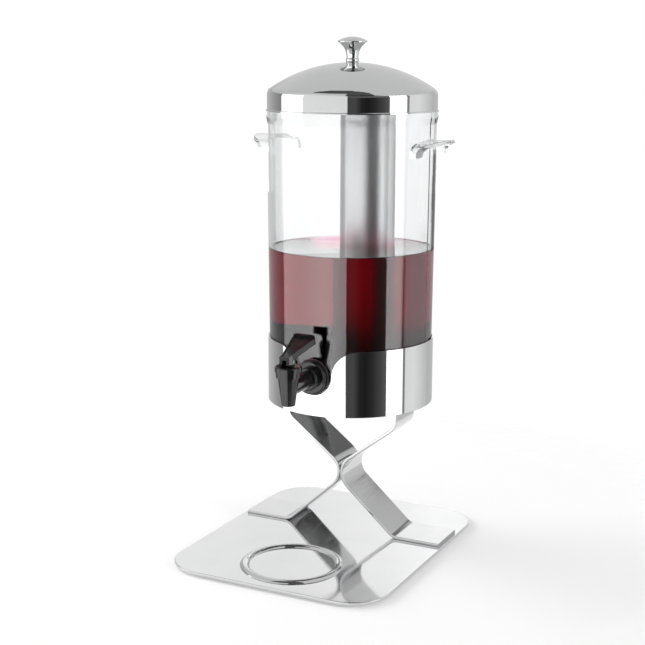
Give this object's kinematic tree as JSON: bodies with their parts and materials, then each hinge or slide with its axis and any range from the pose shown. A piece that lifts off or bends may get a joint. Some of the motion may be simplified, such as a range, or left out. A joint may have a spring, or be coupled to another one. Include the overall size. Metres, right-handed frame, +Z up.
{
  "type": "juice dispenser",
  "caption": "Juice dispenser with a clear tank, ice tube, domed steel lid, black lever tap and crossed strip stand.",
  "frame": {"origin": "middle of the base plate, on the table that its pads stand on", "axes": "+Z up, -Y to the front where the tap is, +X to the right seen from the front"},
  "size_m": [0.225, 0.272, 0.4994],
  "materials": {
    "polished_steel": "mirror polished",
    "plain_steel": "satin",
    "clear_plastic": "clear gloss",
    "black_plastic": "moulded gloss",
    "silicone": "translucent satin",
    "pad_rubber": "matte"
  },
  "bodies": {
    "stand": {"base_plate": "polished_steel", "plate_feet": "pad_rubber", "foot_screws": "plain_steel", "stand_strip_right": "polished_steel", "stand_strip_left": "polished_steel", "shroud": "polished_steel", "shroud_floor": "plain_steel", "shroud_screws": "plain_steel", "shroud_nuts": "plain_steel"},
    "tank": {"tank": "clear_plastic", "handle_right": "clear_plastic", "handle_left": "clear_plastic", "tap_body": "black_plastic", "outer_washer": "silicone", "inner_washer": "silicone", "tap_nut": "black_plastic", "bonnet_seal": "silicone", "tap_bonnet": "black_plastic", "valve_spring": "plain_steel"},
    "ice_tube": {"ice_tube": "polished_steel"},
    "lid": {"lid": "polished_steel", "lid_knob": "polished_steel", "knob_washer": "plain_steel", "knob_screw": "plain_steel"},
    "valve": {"valve_stem": "black_plastic", "seat_cup": "silicone"},
    "lever": {"tap_lever": "black_plastic", "lever_pin": "plain_steel"}
  },
  "joints": [
    {"name": "tank_lift", "type": "slide", "parent": "stand", "child": "tank", "axis": [0, 0, 1], "range_m": [0, 0.065]},
    {"name": "ice_tube_lift", "type": "slide", "parent": "tank", "child": "ice_tube", "axis": [0, 0, 1], "range_m": [0, 0.29]},
    {"name": "lid_lift", "type": "slide", "parent": "ice_tube", "child": "lid", "axis": [0, 0, 1], "range_m": [0, 0.06]},
    {"name": "valve_lift", "type": "slide", "parent": "tank", "child": "valve", "axis": [0, 0, 1], "range_m": [0, 0.00336], "deforming": ["valve_spring"]},
    {"name": "lever_turn", "type": "hinge", "parent": "valve", "child": "lever", "pos_m": [0, -0.082, 0.2056], "axis": [1, 0, 0], "range_deg": [0, 55], "stiffness_Nm_per_rad": 0.05, "springref_deg": -28.65}
  ],
  "couplings": [
    {"joint": "valve_lift", "follows": "lever_turn", "m_per_rad": 0.0033336}
  ]
}
